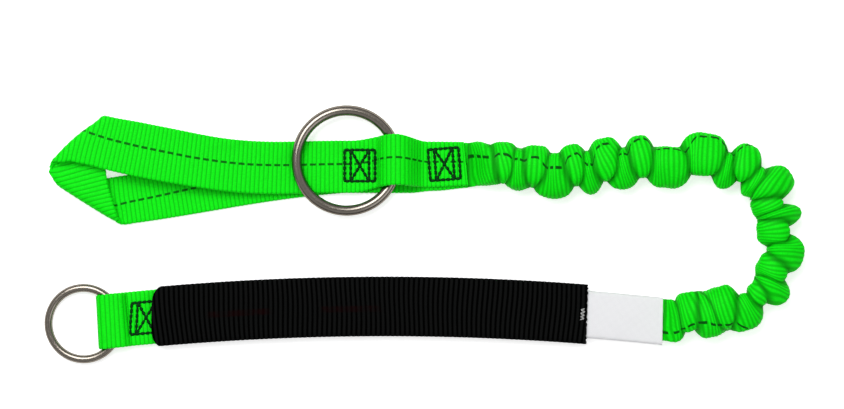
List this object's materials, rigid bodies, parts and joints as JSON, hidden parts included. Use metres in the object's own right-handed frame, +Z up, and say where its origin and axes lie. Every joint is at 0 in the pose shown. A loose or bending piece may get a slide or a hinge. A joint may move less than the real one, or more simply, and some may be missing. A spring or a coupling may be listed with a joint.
{
  "type": "shock absorbing lanyard",
  "caption": "Webbing lanyard with a twisted choke loop, a welded saddle ring in a sewn keeper, a ruched elastic run, a folded shock pack in a wear sleeve and a small end ring.",
  "frame": {"origin": "centre of the bounding box on the surface that the lanyard lies on", "axes": "+X from the choke loop towards the bend of the elastic run, +Y from the sleeved leg to the sewn leg, +Z up from the surface"},
  "size_m": [0.368, 0.1249, 0.0184],
  "materials": {
    "web": "woven tubular web, bright green, ribbed across",
    "thread": "dark green bonded sewing thread",
    "pale_thread": "pale tacking thread",
    "ring_steel": "dark nickel plated welded wire",
    "elastic": "natural rubber strip",
    "label": "plain white woven label",
    "sleeve": "black tubular web, cross ribbed"
  },
  "bodies": {
    "sewn_leg": {"choke_loop": "web", "keeper_web": "web", "base_web": "web", "box_stitch_a": "thread", "box_stitch_b": "thread", "stretch_cover": "web", "stretch_core": "elastic", "core_tack_a": "thread"},
    "bend": {"bend_cover": "web", "bend_core": "elastic"},
    "sleeved_leg": {"core_end": "elastic", "core_tack_b": "thread", "label": "label", "pack_web": "web", "tear_stitches": "thread", "wear_sleeve": "sleeve", "sleeve_tack": "pale_thread", "end_web": "web", "end_tail": "web", "box_stitch_c": "thread", "end_loop": "web"},
    "large_ring": {"saddle_ring": "ring_steel"},
    "small_ring": {"end_ring": "ring_steel"}
  },
  "joints": [
    {"name": "bungee_stretch", "type": "slide", "parent": "sewn_leg", "child": "bend", "axis": [1, 0, 0], "range_m": [0, 0.13], "stiffness_N_per_m": 120, "deforming": ["stretch_cover", "stretch_core"]},
    {"name": "bungee_bend", "type": "hinge", "parent": "bend", "child": "sleeved_leg", "pos_m": [0.1714, -0.003, 0.00475], "axis": [0, 0, 1], "range_deg": [0, 170], "deforming": ["bend_cover", "bend_core"]},
    {"name": "saddle_ring_swing", "type": "hinge", "parent": "sewn_leg", "child": "large_ring", "pos_m": [-0.01395, 0.0356, 0.00535], "axis": [0, 1, 0], "range_deg": [0, 150]},
    {"name": "end_ring_swing", "type": "hinge", "parent": "sleeved_leg", "child": "small_ring", "pos_m": [-0.14638, -0.04144, 0.00465], "axis": [-0.0992, 0.9951, 0], "range_deg": [-70, 105], "deforming": ["end_loop"]}
  ]
}
